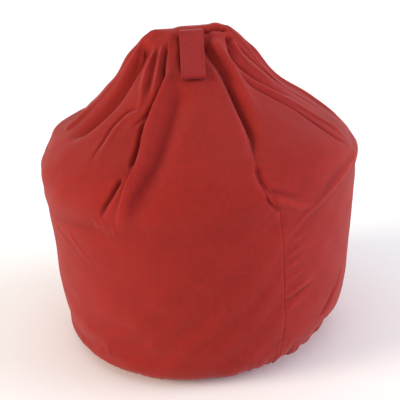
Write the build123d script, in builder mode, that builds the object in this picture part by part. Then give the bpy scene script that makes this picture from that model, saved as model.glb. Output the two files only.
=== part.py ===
"""Bean bag chair: a cotton drill cover over a bead-filled liner bag, with a carry handle and two coil zips.

Frame: millimetres, +Z up, origin on the floor under the middle of the bag. The front, where the handle hangs,
faces -Y. A bearing is an angle round the bag in degrees from the front, positive towards +X.
"""

import os
from math import atan2, cos, radians, sin

from build123d import *

os.makedirs("parts", exist_ok=True)

# --- The filled bag: what rests on the floor, then a nearly straight wall, a shoulder and a gathered top ---
FLAT_RADIUS = 300
BASE_SEAM = (322, 16)  # radius and height of the seam between base and walls
WALL_LOW = (342, 62)  # radius and height where the straight part of the wall begins
WALL_HIGH = (368, 452)  # and where it ends
SHOULDER = (353, 503)
TOP_LEVELS = [  # height, half width (X) and half depth (Y), up to the ridge where the pleats are sewn shut
    (562, 282, 278),
    (622, 202, 186),
    (674, 154, 118),
    (710, 122, 68),
    (742, 90, 20),
]
RIDGE_HEIGHT, RIDGE_HALF_WIDTH, RIDGE_HALF_DEPTH = TOP_LEVELS[-1]

# --- Layers, each measured inwards from the cover's outside ---
COVER_THICK = 1.2
LINER_INSET = 8.0
LINER_THICK = 0.8
FILL_INSET = 9.6
LINER_LEVELS = 4  # the liner and the beads in it reach this level of the gathered top
BINDING = (160, 4, 22)  # the tape over the raw edges inside the ridge

# --- Seams and zips, by bearing ---
PLAIN_SEAM = 29
ZIP_SEAM = PLAIN_SEAM - 180
LINER_ZIP_BEARING = 126
ZIP_LENGTH = 300
ZIP_MIDDLE = 280  # height of the zips' middles
TAPE_WIDTH = 15.4
TAPE_THICK = 0.8
TAPE_SPARE = 16  # tape beyond the coils at each end
TAPE_DEPTH = 1.8  # the tape's face below the fabric's outside
COIL_GAP = 1.6
COIL_WIDTH = 2.6
COIL_HEIGHT = 2.4
COIL_ROUNDING = 1.0
STOP_LENGTH = 3.2
STOP_HEIGHT = 3.0
SLOT_WIDTH = 12  # between the turned-in edges of the fabric
POCKET = (36, 5.4)  # width and depth of the dent that a zip makes in the beads

# --- Sliders and pull tab ---
PLAY = 0.3
SLIDER_LENGTH = 11
SLIDER_PLATE = 1.4
SLIDER_FLANGE = 1.0
SLIDER_WIDTH = COIL_GAP + 2 * (COIL_WIDTH + PLAY + SLIDER_FLANGE)
POST = (1.0, 3.5)  # thickness and length of the post between the plates
CROWN = (2.4, 7.6, 3.6)  # the loop on the slider: across, along, and how far it stands up
CROWN_HOLE = (4.4, 2.2)
CROWN_HOLE_RISE = 1.3  # the hole's middle above the slider's plate
BAR_RADIUS = 0.8
TAB_LENGTH = 26
TAB_WIDTH = 8
TAB_THICK = 1.2
TAB_WINDOW = (3.6, 4.9)  # width, and reach below the bar, of the window that straddles the crown

# --- Carry handle: a strap folded into a loop, whose two ends are sewn down on the ridge ---
STRAP_WIDTH = 54
STRAP_THICK = 2.0
HANDLE_LENGTH = 142
HANDLE_SLOPE = 36  # degrees below the horizontal, as the loop lies on the front
LOOP_GAP = 8.0
LOOP_START = 6.0  # from the hinge line to where the two layers part
SEWN_LENGTH = 27
SEWN_PLAY = 0.4
HINGE_Y = -25.0
HINGE_HEIGHT = RIDGE_HEIGHT + 2 * STRAP_THICK  # level with the top of the sewn ends, so that the loop folds back

# --- Care label: along the seam, out of the seam, thickness ---
LABEL = (32, 44, 0.8)
LABEL_HEIGHT = 84


def outward(bearing, radius=1.0, height=0.0):
    """The point at a bearing, radius and height."""
    return Vector(radius * sin(radians(bearing)), -radius * cos(radians(bearing)), height)


def wall_plane(bearing, height, inset=0.0):
    """A plane on the straight wall: x across it, y up along it, z out of it."""
    rise = (height - WALL_LOW[1]) / (WALL_HIGH[1] - WALL_LOW[1])
    radius = WALL_LOW[0] + rise * (WALL_HIGH[0] - WALL_LOW[0]) - inset
    lean = atan2(WALL_HIGH[0] - WALL_LOW[0], WALL_HIGH[1] - WALL_LOW[1])
    normal = outward(bearing) * cos(lean) - Vector(0, 0, sin(lean))
    up = outward(bearing) * sin(lean) + Vector(0, 0, cos(lean))
    return Plane(origin=outward(bearing, radius, height), x_dir=up.cross(normal), z_dir=normal)


def bag_solid(inset, levels):
    """The bag's shape, inset all over, up to one level of the gathered top."""
    shoulder = (SHOULDER[0] - inset, SHOULDER[1] - inset)
    base_seam = (BASE_SEAM[0] - inset, BASE_SEAM[1] + inset / 2)
    wall_low = (WALL_LOW[0] - inset, WALL_LOW[1])
    wall_high = (WALL_HIGH[0] - inset, WALL_HIGH[1])
    wall_up = Vector(WALL_HIGH[0] - WALL_LOW[0], WALL_HIGH[1] - WALL_LOW[1])
    with BuildPart() as bag:
        with BuildSketch(Plane.XZ):
            with BuildLine():
                Line((0, inset), (FLAT_RADIUS, inset))
                TangentArc((FLAT_RADIUS, inset), base_seam, tangent=(1, 0))
                TangentArc(wall_low, base_seam, tangent=wall_up * -1)
                Line(wall_low, wall_high)
                TangentArc(wall_high, shoulder, tangent=wall_up)
                Line(shoulder, (0, shoulder[1]))
                Line((0, shoulder[1]), (0, inset))
            make_face()
        revolve(axis=Axis.Z)
        with BuildSketch(Plane.XY.offset(shoulder[1])):
            Circle(shoulder[0])
        for height, half_width, half_depth in TOP_LEVELS[:levels]:
            with BuildSketch(Plane.XY.offset(height - inset)):
                Ellipse(half_width - inset, half_depth - inset)
        loft()
    return bag.part


def save(part, label):
    """Name a finished piece and write its file."""
    part.label = label
    export_step(part, f"parts/{label}.step")


cover_outside = bag_solid(0, len(TOP_LEVELS))
cover_inside = bag_solid(COVER_THICK, len(TOP_LEVELS))
liner_outside = bag_solid(LINER_INSET, LINER_LEVELS)
liner_inside = bag_solid(LINER_INSET + LINER_THICK, LINER_LEVELS)

cover_zip = wall_plane(ZIP_SEAM, ZIP_MIDDLE)
liner_zip = wall_plane(LINER_ZIP_BEARING, ZIP_MIDDLE, LINER_INSET)
seam_plane = Plane(origin=(0, 0, 0), x_dir=outward(PLAIN_SEAM), z_dir=outward(PLAIN_SEAM - 90))
cover_base_cut = Plane.XY.offset(BASE_SEAM[1])
liner_base_cut = Plane.XY.offset(BASE_SEAM[1] + LINER_INSET)
liner_top_cut = Plane.XY.offset(SHOULDER[1] - LINER_INSET)


# --- Cover: two body panels and a base panel ---
for label, side in (("cover_front_panel", Keep.TOP), ("cover_rear_panel", Keep.BOTTOM)):
    with BuildPart() as cover_panel:
        add(cover_outside)
        add(cover_inside, mode=Mode.SUBTRACT)
        split(bisect_by=cover_base_cut, keep=Keep.TOP)
        split(bisect_by=seam_plane, keep=side)
        with BuildSketch(cover_zip):
            Rectangle(SLOT_WIDTH, ZIP_LENGTH)
        extrude(amount=SLOT_WIDTH, both=True, mode=Mode.SUBTRACT)
    save(cover_panel.part, label)

with BuildPart() as cover_base_panel:
    add(cover_outside)
    add(cover_inside, mode=Mode.SUBTRACT)
    split(bisect_by=cover_base_cut, keep=Keep.BOTTOM)
save(cover_base_panel.part, "cover_base_panel")

with BuildPart() as ridge_seam_binding:
    with BuildSketch(Plane.XY.offset(RIDGE_HEIGHT - COVER_THICK)):
        Rectangle(BINDING[0], BINDING[1])
    extrude(amount=-BINDING[2])
    fillet(ridge_seam_binding.edges().filter_by(Axis.X).group_by(Axis.Z)[0], BINDING[1] / 2 - 0.1)
save(ridge_seam_binding.part, "ridge_seam_binding")


# --- Liner bag: wall, top and base, and the beads inside ---
with BuildPart() as liner_wall_panel:
    add(liner_outside)
    add(liner_inside, mode=Mode.SUBTRACT)
    split(bisect_by=liner_base_cut, keep=Keep.TOP)
    split(bisect_by=liner_top_cut, keep=Keep.BOTTOM)
    with BuildSketch(liner_zip):
        Rectangle(SLOT_WIDTH, ZIP_LENGTH)
    extrude(amount=SLOT_WIDTH, both=True, mode=Mode.SUBTRACT)
save(liner_wall_panel.part, "liner_wall_panel")

with BuildPart() as liner_top_panel:
    add(liner_outside)
    add(liner_inside, mode=Mode.SUBTRACT)
    split(bisect_by=liner_top_cut, keep=Keep.TOP)
save(liner_top_panel.part, "liner_top_panel")

with BuildPart() as liner_base_panel:
    add(liner_outside)
    add(liner_inside, mode=Mode.SUBTRACT)
    split(bisect_by=liner_base_cut, keep=Keep.BOTTOM)
save(liner_base_panel.part, "liner_base_panel")

with BuildPart() as bead_fill:
    add(bag_solid(FILL_INSET, LINER_LEVELS))
    with BuildSketch(liner_zip.offset(-POCKET[1])):
        Rectangle(POCKET[0], ZIP_LENGTH + 2 * TAPE_SPARE + SLIDER_FLANGE)
    extrude(amount=2 * POCKET[1], mode=Mode.SUBTRACT)
save(bead_fill.part, "bead_fill")


def zip_tape(plane, side):
    """One half of the woven tape, behind the fabric's turned-in edge."""
    with BuildPart() as tape:
        with BuildSketch(plane.offset(-TAPE_DEPTH - TAPE_THICK)):
            with Locations((side * (COIL_GAP + TAPE_WIDTH) / 2, 0)):
                Rectangle(TAPE_WIDTH, ZIP_LENGTH + 2 * TAPE_SPARE)
        extrude(amount=TAPE_THICK)
    return tape.part


def zip_coil(plane, side):
    """One coil, as a rounded rail between the stops."""
    with BuildPart() as coil:
        with BuildSketch(plane.offset(-TAPE_DEPTH)):
            with Locations((side * (COIL_GAP + COIL_WIDTH) / 2, 0)):
                Rectangle(COIL_WIDTH, ZIP_LENGTH - 2 * STOP_LENGTH)
        extrude(amount=COIL_HEIGHT)
        crest = coil.faces().sort_by(Axis(plane.origin, plane.z_dir))[-1]
        fillet(crest.edges().sort_by(SortBy.LENGTH)[-2:], COIL_ROUNDING)
    return coil.part


def zip_stops(plane):
    """The stops: one on each coil at the lower end, where the zip is closed, and one across both at the top."""
    end = (ZIP_LENGTH - STOP_LENGTH) / 2
    with BuildPart() as stops:
        with BuildSketch(plane.offset(-TAPE_DEPTH)):
            with Locations((-(COIL_GAP + COIL_WIDTH) / 2, -end), ((COIL_GAP + COIL_WIDTH) / 2, -end)):
                Rectangle(COIL_WIDTH, STOP_LENGTH)
            with Locations((0, end)):
                Rectangle(COIL_GAP + 2 * COIL_WIDTH, STOP_LENGTH)
        extrude(amount=STOP_HEIGHT)
    return stops.part


def slider_plane(plane):
    """The section plane through the middle of a closed slider: x across the zip, y out of it, z down along it."""
    along = (SLIDER_LENGTH - ZIP_LENGTH) / 2 + STOP_LENGTH + PLAY
    return Plane(origin=plane.origin + plane.y_dir * along, x_dir=plane.x_dir, z_dir=plane.y_dir * -1)


def zip_slider(plane):
    """A slider: two plates round the coils, a post between them, and a crown for a pull tab."""
    across = slider_plane(plane)
    face = COIL_HEIGHT - TAPE_DEPTH + PLAY  # underside of the outer plate
    back = -TAPE_DEPTH - TAPE_THICK - PLAY  # face of the inner plate
    flange_depth = COIL_HEIGHT
    flange_middle = (SLIDER_WIDTH - SLIDER_FLANGE) / 2
    with BuildPart() as slider:
        with BuildSketch(across):
            with Locations((0, face + SLIDER_PLATE / 2), (0, back - SLIDER_PLATE / 2)):
                Rectangle(SLIDER_WIDTH, SLIDER_PLATE)
            with Locations((-flange_middle, face - flange_depth / 2), (flange_middle, face - flange_depth / 2)):
                Rectangle(SLIDER_FLANGE, flange_depth)
        extrude(amount=SLIDER_LENGTH / 2, both=True)
        with BuildSketch(across):
            with Locations((0, (face + back) / 2)):
                Rectangle(POST[0], face - back)
        extrude(amount=POST[1] / 2, both=True)
        with BuildSketch(Plane(origin=across.origin, x_dir=across.z_dir, z_dir=across.x_dir * -1)):
            with Locations((0, face + SLIDER_PLATE + CROWN[2] / 2)):
                Rectangle(CROWN[1], CROWN[2])
            with Locations((0, face + SLIDER_PLATE + CROWN_HOLE_RISE)):
                SlotOverall(*CROWN_HOLE, mode=Mode.SUBTRACT)
        extrude(amount=CROWN[0] / 2, both=True)
    return slider.part


# --- Zips of cover and liner: the liner's slider has no pull tab, so that a child can't open it ---
for prefix, plane in (("cover_zip", cover_zip), ("liner_zip", liner_zip)):
    for side_name, side in (("left", -1), ("right", 1)):
        save(zip_tape(plane, side), f"{prefix}_tape_{side_name}")
        save(zip_coil(plane, side), f"{prefix}_coil_{side_name}")
    save(zip_stops(plane), f"{prefix}_stops")
    save(zip_slider(plane), f"{prefix}_slider")

pull_pivot = slider_plane(cover_zip).origin + cover_zip.z_dir * (
    COIL_HEIGHT - TAPE_DEPTH + PLAY + SLIDER_PLATE + CROWN_HOLE_RISE
)
with BuildPart() as cover_zip_pull_tab:
    with BuildSketch(Plane(origin=pull_pivot, x_dir=cover_zip.x_dir, z_dir=outward(ZIP_SEAM))):
        with Locations((0, BAR_RADIUS - TAB_LENGTH / 2)):
            RectangleRounded(TAB_WIDTH, TAB_LENGTH, BAR_RADIUS)
        with Locations((0, -TAB_WINDOW[1] / 2)):
            Rectangle(TAB_WINDOW[0], TAB_WINDOW[1] + 2 * BAR_RADIUS, mode=Mode.SUBTRACT)
    extrude(amount=TAB_THICK / 2, both=True)
    with BuildSketch(Plane(origin=pull_pivot, x_dir=outward(ZIP_SEAM), z_dir=cover_zip.x_dir)):
        Circle(BAR_RADIUS)
    extrude(amount=TAB_WIDTH / 2 - BAR_RADIUS, both=True)
save(cover_zip_pull_tab.part, "cover_zip_pull_tab")


# --- Carry handle ---
down_slope = Vector(0, -cos(radians(HANDLE_SLOPE)), -sin(radians(HANDLE_SLOPE)))
handle_plane = Plane(origin=(STRAP_WIDTH / 2, HINGE_Y, HINGE_HEIGHT), x_dir=down_slope, z_dir=(-1, 0, 0))
fold_radius = LOOP_GAP / 2 + STRAP_THICK
fold_start = HANDLE_LENGTH - fold_radius
with BuildPart() as carry_handle:
    with BuildSketch(handle_plane):
        with BuildLine():
            Line((0, -STRAP_THICK), (fold_start, -STRAP_THICK))
            ThreePointArc(
                (fold_start, -STRAP_THICK),
                (HANDLE_LENGTH, LOOP_GAP / 2),
                (fold_start, LOOP_GAP + STRAP_THICK),
            )
            Line((fold_start, LOOP_GAP + STRAP_THICK), (0, STRAP_THICK))
            ThreePointArc((0, STRAP_THICK), (-STRAP_THICK, 0), (0, -STRAP_THICK))
        make_face()
        with BuildLine():
            Line((LOOP_START, 0), (fold_start, 0))
            ThreePointArc((fold_start, 0), (HANDLE_LENGTH - STRAP_THICK, LOOP_GAP / 2), (fold_start, LOOP_GAP))
            Line((fold_start, LOOP_GAP), (LOOP_START, 0))
        make_face(mode=Mode.SUBTRACT)
    extrude(amount=STRAP_WIDTH)
save(carry_handle.part, "carry_handle")

sewn_start = HINGE_Y + STRAP_THICK + SEWN_PLAY
with BuildPart() as handle_sewn_ends:
    with BuildSketch(Plane.XY.offset(RIDGE_HEIGHT)):
        with Locations((0, sewn_start + SEWN_LENGTH / 2)):
            Rectangle(STRAP_WIDTH, SEWN_LENGTH)
    extrude(amount=2 * STRAP_THICK)
    front_top_edge = handle_sewn_ends.edges().filter_by(Axis.X).group_by(Axis.Z)[-1].sort_by(Axis.Y)[0]
    fillet(front_top_edge, STRAP_THICK)
save(handle_sewn_ends.part, "handle_sewn_ends")

# --- Care label: sewn into the seam below the zip, it lies on the rear panel ---
with BuildPart() as care_label:
    with BuildSketch(wall_plane(ZIP_SEAM, LABEL_HEIGHT)):
        with Locations((-LABEL[1] / 2, 0)):
            Rectangle(LABEL[1], LABEL[0])
    extrude(amount=LABEL[2])
save(care_label.part, "care_label")
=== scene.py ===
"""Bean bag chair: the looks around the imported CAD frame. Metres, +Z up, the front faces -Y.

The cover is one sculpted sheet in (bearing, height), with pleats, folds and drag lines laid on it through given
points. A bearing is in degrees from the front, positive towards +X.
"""

import math

import bpy
import numpy as np
from mathutils import Matrix, Vector


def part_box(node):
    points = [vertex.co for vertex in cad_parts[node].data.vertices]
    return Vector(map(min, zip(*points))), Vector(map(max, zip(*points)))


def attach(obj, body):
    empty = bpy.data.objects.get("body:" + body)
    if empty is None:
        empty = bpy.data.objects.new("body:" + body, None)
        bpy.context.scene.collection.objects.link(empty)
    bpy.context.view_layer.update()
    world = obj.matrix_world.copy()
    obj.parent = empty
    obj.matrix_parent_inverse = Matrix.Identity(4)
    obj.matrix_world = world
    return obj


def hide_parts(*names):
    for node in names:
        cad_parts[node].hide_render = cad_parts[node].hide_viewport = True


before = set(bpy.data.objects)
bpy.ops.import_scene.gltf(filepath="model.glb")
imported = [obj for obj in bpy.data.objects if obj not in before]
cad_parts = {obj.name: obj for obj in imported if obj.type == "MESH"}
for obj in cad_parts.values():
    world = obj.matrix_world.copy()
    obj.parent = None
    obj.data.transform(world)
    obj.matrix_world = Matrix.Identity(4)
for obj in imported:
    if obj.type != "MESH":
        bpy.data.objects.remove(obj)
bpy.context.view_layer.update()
MM = 0.001

# --- The bag's place, from the frame ---
SEWN_LOW, SEWN_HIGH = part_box("handle_sewn_ends")
COIL_LOW, COIL_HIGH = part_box("cover_zip_coil_left")
HEM_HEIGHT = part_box("cover_base_panel")[1].z
RIDGE_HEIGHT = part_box("cover_front_panel")[1].z

SEAM_BEARING = 29.0
ZIP_BEARING = SEAM_BEARING - 180.0
ZIP_LOW = COIL_LOW.z - 0.003  # the slot between the cover's turned-in edges
ZIP_HIGH = COIL_HIGH.z + 0.003
SLOT_HALF = 0.006
SEAM_LINE = [  # height and bearing
    (0.000, 30.8), (0.150, 29.4), (0.300, 28.0), (0.415, 26.4), (0.462, 23.4), (0.505, 21), (0.538, 22),
    (0.565, 25), (0.602, 27), (0.645, 27), (0.680, 24), (0.704, 18), (0.732, 10), (0.760, 7),
]
WALL_HEIGHTS = (0.062, 0.452)  # the ends of the CAD wall's straight line, which the zip follows
WALL_RADII = (0.342, 0.368)
CLOTH_RADIUS = 0.36  # turns a bearing into a distance along the cloth

# --- The sheet's grid ---
COLUMNS = 360  # on each of the two panels
ROWS = 262

# Height, half width (X) and half depth (Y) of the bag's smooth shape, from the hem up to the ridge.
LEVELS = [
    (HEM_HEIGHT, 0.323, 0.320), (0.036, 0.339, 0.335), (0.070, 0.346, 0.344), (0.150, 0.353, 0.351),
    (0.260, 0.360, 0.358), (0.370, 0.368, 0.365), (0.440, 0.372, 0.370), (0.485, 0.362, 0.360),
    (0.520, 0.338, 0.332), (0.562, 0.280, 0.275), (0.622, 0.198, 0.190), (0.674, 0.150, 0.122),
    (0.710, 0.121, 0.072), (RIDGE_HEIGHT - 0.008, 0.098, 0.037), (RIDGE_HEIGHT - 0.001, 0.091, 0.027),
    (RIDGE_HEIGHT + 0.0025, 0.0875, 0.017), (RIDGE_HEIGHT + 0.0055, 0.084, 0.0012),
]
HEIGHTS, WIDTHS, DEPTHS = (np.array(column) for column in zip(*LEVELS))


# --- Curves ---
def hermite(xs, ys, slopes, x):
    """A cubic through (xs, ys) with the given slopes, at x."""
    k = np.clip(np.searchsorted(xs, x) - 1, 0, len(xs) - 2)
    h = xs[k + 1] - xs[k]
    t = np.clip((x - xs[k]) / h, 0, 1)
    a, b = 2 * t**3 - 3 * t**2 + 1, t**3 - 2 * t**2 + t
    return a * ys[k] + b * h * slopes[k] + (1 - a) * ys[k + 1] + (t**3 - t**2) * h * slopes[k + 1]


def spline(xs, ys, x):
    """A monotone cubic through the points (xs, ys), at x."""
    xs, ys = np.asarray(xs, float), np.asarray(ys, float)
    h = np.diff(xs)
    d = np.diff(ys) / h
    slopes = np.zeros_like(ys)
    same = d[:-1] * d[1:] > 0
    w1, w2 = 2 * h[1:] + h[:-1], h[1:] + 2 * h[:-1]
    slopes[1:-1][same] = (w1 + w2)[same] / (w1[same] / d[:-1][same] + w2[same] / d[1:][same])
    slopes[0], slopes[-1] = d[0], d[-1]
    return hermite(xs, ys, slopes, x)


def smooth(low, high, x):
    """0 below low, 1 above high, and smooth between."""
    t = np.clip((x - low) / (high - low), 0, 1)
    return t * t * (3 - 2 * t)


def bump(x, width, power=2):
    """1 where x is 0, falling to 0 on both sides."""
    return np.exp(-((x / width) ** power))


def unit(vectors):
    """Vectors scaled to length 1."""
    return vectors / np.maximum(np.linalg.norm(vectors, axis=-1, keepdims=True), 1e-12)


def distances(path):
    """How far each point of a path is along it."""
    return np.concatenate([[0], np.cumsum(np.linalg.norm(np.diff(path, axis=0), axis=1))])


# --- The smooth bag ---
def profile_rows(count):
    """Heights of the sheet's rows, closer together in the gathered top."""
    z = np.linspace(HEIGHTS[0], HEIGHTS[-1], 4000)
    r = spline(HEIGHTS, WIDTHS, z)
    step = np.hypot(np.diff(z), np.diff(r))
    step *= 1 + 1.5 * smooth(0.43, 0.56, z[1:])
    along = np.concatenate([[0], np.cumsum(step)])
    return np.interp(np.linspace(0, along[-1], count), along, z)


def all_round(count):
    """Even bearings all round the bag."""
    return np.linspace(-180, 180, count + 1)[:-1]


def turn_from(bearing, middle):
    """Degrees from one bearing to others, from -180 to 180."""
    return (bearing - middle + 180) % 360 - 180


def round_to(bearing, middle, radius):
    """How far bearings are from another one, round a circle."""
    return np.abs(np.radians(turn_from(bearing, middle))) * radius


def seam_line(height):
    """The plain seam's bearing at a height."""
    return spline(*zip(*SEAM_LINE), height)


def zip_hold(bearing, height):
    """1 beside the zip, whose tape holds the fabric straight, fading to 0 round it."""
    across = 1 - smooth(4, 12, np.abs(turn_from(bearing, ZIP_BEARING)))
    from_low = smooth(ZIP_LOW - 0.050, ZIP_LOW - 0.012, height)
    return across * from_low * (1 - smooth(ZIP_HIGH + 0.012, ZIP_HIGH + 0.060, height))


def smooth_bag(bearing, height):
    """Points of the smooth bag at bearings (degrees) and heights."""
    bearing, height = np.broadcast_arrays(bearing, height)
    straight = np.interp(height, WALL_HEIGHTS, WALL_RADII)
    hold = zip_hold(bearing, height)
    a = spline(HEIGHTS, WIDTHS, height) * (1 - hold) + straight * hold
    b = spline(HEIGHTS, DEPTHS, height) * (1 - hold) + straight * hold
    t = np.radians(bearing)
    return np.stack([a * np.sin(t), -b * np.cos(t), height + 0 * t], -1)


def bag_normals(bearing, height):
    """Outward unit normals of the smooth bag."""
    up = smooth_bag(bearing, np.minimum(height + 0.0006, HEIGHTS[-1]))
    up = up - smooth_bag(bearing, np.maximum(height - 0.0006, HEIGHTS[0]))
    right = smooth_bag(bearing + 0.1, height) - smooth_bag(bearing - 0.1, height)
    return unit(np.cross(right, up))


# --- Folds ---
SAMPLE_STEP = 0.004
FOLD_TIP = 0.012  # how a fold rounds off past its ends
FOLD_REACH = 3.2  # widths away from a fold where it is too faint to matter


def curve_samples(knots):
    """Points along a smooth line on the bag through knots, and how far along it each is, 0 to 1."""
    heights, bearings = np.array(list(knots), float) / 1000, np.array(list(knots.values()), float)
    chord = distances(smooth_bag(bearings, heights))
    t = np.linspace(0, chord[-1], max(int(chord[-1] / SAMPLE_STEP), 4))
    bearing, height = (hermite(chord, ys, np.gradient(ys, chord), t) for ys in (bearings, heights))
    return smooth_bag(bearing, height), t / chord[-1]


def fold(points, out, tangent, rise, left, right, start, end, knots, power=2, peak=((0, 1), (1, 1)), lean=0):
    """Lay one fold on the sheet: add to out, along the normal, and to tangent, across the fold."""
    samples, along = curve_samples(knots)
    reach = FOLD_REACH * max(left, right) * MM
    near = np.all((points > samples.min(0) - reach) & (points < samples.max(0) + reach), axis=-1)
    if not near.any():
        return
    p = points[near]
    best = np.full(len(p), 1e9)
    index = np.zeros(len(p), int)
    for k, s in enumerate(samples):
        d = ((p - s) ** 2).sum(1)
        closer = d < best
        best[closer], index[closer] = d[closer], k
    direction = unit(np.gradient(samples, axis=0))
    across = unit(np.cross(unit(samples * [1, 1, 0]), direction))
    offset = p - samples[index]
    side = (offset * across[index]).sum(1)
    forward = (offset * direction[index]).sum(1)
    ahead = np.maximum(np.abs(forward) - SAMPLE_STEP, 0)
    length = np.linalg.norm(np.diff(samples, axis=0), axis=1).sum()
    t = np.clip(along[index] + forward / length, 0, 1)
    strength = smooth(0, start, t) * (1 - smooth(1 - end, 1, t)) * np.interp(t, *zip(*peak))
    width = np.where(side < 0, left, right) * MM
    shape = np.exp(-(np.abs(side / width) ** power)) * bump(ahead, FOLD_TIP) * strength
    out[near] += rise * MM * shape
    if lean:
        tangent[near] += (lean * MM * shape)[:, None] * across[index]


# Each fold: its rise out of the sheet (it sinks in below 0) and its widths to the left and right in millimetres, the
# shares of its length over which it starts and ends, and its knots (millimetres high: bearing). Then, where they are
# given, the power of its profile, its strength at shares of its length, and its lean to the right. Right is the side
# of larger bearings for a fold followed downwards, and the upper side for one followed towards larger bearings.
FRONT_FOLDS = [
    # The right front pleat: a deep valley between the front and the right lobe, with a lit ridge beyond it.
    (-18, 10, 13, 0.1, 0.35, {732: 10, 704: 18, 680: 24, 645: 27, 602: 27, 565: 25, 538: 22, 510: 21},
        1.7, [(0, 0.5), (0.3, 0.8), (0.5, 1), (1, 1)]),
    (-6, 3, 13, 0.3, 0.3, {530: 21, 505: 20, 462: 22}),
    (11, 9, 20, 0.1, 0.5, {730: 22, 697: 32, 661: 35, 623: 35, 595: 34, 570: 33}),
    # The left front pleat: the front's edge is a rolled lip over two crevices, one below the other.
    (12, 6, 18, 0.15, 0.3, {694: -20, 659: -22, 612: -25, 573: -24, 534: -22, 495: -24, 441: -26, 386: -29},
        2, [(0, 1), (1, 1)], -3),
    (-14, 4.5, 3, 0.1, 0.1, {730: -31, 690: -28, 661: -25, 636: -28, 595: -29, 555: -26, 520: -25},
        1.5, [(0, 0.55), (0.25, 0.95), (0.42, 0.45), (0.6, 0.45), (0.8, 1), (1, 1)]),
    (-12, 5, 2.5, 0.15, 0.4, {512: -27, 471: -30, 420: -34}, 1.5),
    (-13, 17, 26, 0.2, 0.4, {672: -10, 640: -11, 590: -13, 525: -16, 460: -22, 415: -27}),
    # The crease beside the strap's left edge, and the tucks under the knuckle on its right.
    (-6, 5, 5, 0.15, 0.3, {742: -18, 722: -15, 700: -12, 682: -10, 668: -9}, 1.4),
    (-10, 3, 3.5, 0.15, 0.2, {739.5: 14, 740: 34, 738: 62}, 1.4),
    (-4.5, 2, 2.5, 0.2, 0.2, {746.5: 20, 743.5: 32, 746: 48}, 1.4),
    # Soft gathers between the left pleat and the left shoulder.
    (6, 6, 7, 0.15, 0.5, {722: -48, 675: -45, 625: -38, 595: -36}),
    (6, 5, 6, 0.15, 0.4, {726: -38, 672: -32, 630: -31}),
    (-5, 5, 5, 0.15, 0.4, {724: -43, 675: -38, 628: -34}),
    (-4, 6, 6, 0.15, 0.5, {720: -56, 680: -52, 640: -48}),
    (-5, 3, 4, 0.2, 0.4, {617: -32, 608: -43, 589: -46, 553: -45, 508: -42}, 1.3),
    (3, 5, 9, 0.2, 0.5, {606: -33, 599: -41, 583: -43, 552: -42, 513: -39}),
    (-4, 4, 5, 0.15, 0.5, {625: -27, 600: -31, 577: -35}),
    # The left shoulder: a rolled rim on the outline with a wide valley in front of it.
    (-32, 31, 15, 0.1, 0.3, {728: -66, 690: -64, 640: -62, 602: -61, 568: -63, 535: -68},
        2, [(0, 0.7), (0.3, 1), (1, 1)]),
    (6, 16, 9, 0.1, 0.05, {722: -96, 675: -92, 624: -86, 580: -81, 540: -79},
        2, [(0, 0.1), (0.6, 0.4), (0.9, 1.3), (1, 1.2)]),
    # The right shoulder: two long folds that run from the ridge to a knuckle on the outline.
    (-11, 3.5, 8, 0.05, 0.4, {732: 50, 708: 43, 688: 41, 663: 50, 624: 64, 590: 74}, 1.3),
    (4, 8, 9, 0.1, 0.5, {726: 58, 704: 56, 684: 58, 655: 66, 615: 76}),
    (-6, 3, 6, 0.15, 0.15, {678: 38, 648: 44, 612: 56, 582: 62, 551: 63, 524: 63, 490: 68}, 1.3),
    (4, 7, 9, 0.2, 0.2, {650: 50, 618: 61, 588: 68, 553: 70, 522: 71, 494: 74}),
    (-6, 3, 4.5, 0.15, 0.4, {726: 60, 700: 65, 668: 72, 625: 79, 585: 83, 540: 82}, 1.3),
    (6, 10, 16, 0.15, 0.3, {722: 96, 680: 92, 630: 96, 560: 95, 490: 84}),
    # Where the right lobe ends: an arc, a long diagonal ridge, and dents at the top of the plain seam.
    (3.8, 3, 4.5, 0.15, 0.25, {468: 76, 459: 64, 439: 52, 416: 44, 390: 36, 358: 30, 338: 28}, 1.4),
    (-2.4, 14, 8, 0.3, 0.4, {476: 70, 466: 58, 447: 48, 422: 41}),
    (3, 5, 6, 0.2, 0.4, {463: 21, 445: 27, 426: 33, 411: 42}),
    (-3, 6, 9, 0.2, 0.5, {477: 22, 460: 28, 438: 36}),
    (-4, 4, 5, 0.3, 0.3, {468: 21, 445: 23, 422: 26}),
    # Drag lines to the right of the plain seam, and the crease near the hem.
    (2.8, 4, 4, 0.45, 0.6, {303: 27, 317: 33, 330: 39}),
    (2.4, 4, 4, 0.45, 0.6, {277: 27, 289: 32, 302: 38}),
    (2.8, 4, 4, 0.45, 0.6, {243: 27.5, 257: 33, 272: 40}),
    (3.4, 4, 5, 0.4, 0.5, {208: 28, 226: 36, 242: 44}),
    (-2.5, 5, 4, 0.4, 0.5, {195: 28, 213: 36, 228: 44}),
    (2.4, 4, 4, 0.45, 0.6, {172: 28, 184: 33, 197: 39}),
    (2, 4, 5, 0.3, 0.6, {334: 29, 346: 34, 356: 40}),
    (4, 4, 5, 0.4, 0.3, {215: 68, 160: 60, 118: 53, 90: 49}),
    (-2.5, 12, 7, 0.4, 0.3, {190: 60, 135: 53, 100: 46}),
    # The left lobe's lower edge, and the drag lines that leave it.
    (-2.2, 16, 24, 0.3, 0.3, {345: -100, 362: -80, 378: -62, 388: -48, 394: -38, 400: -26}),
    (2, 4, 5, 0.2, 0.6, {352: -66, 330: -59, 305: -52}),
    (2.6, 4, 6, 0.2, 0.6, {360: -54, 322: -48, 292: -41}),
    (3, 4, 4, 0.3, 0.5, {420: -37, 395: -35}),
    (3, 4, 4, 0.3, 0.5, {410: -30, 382: -29}),
]

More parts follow.
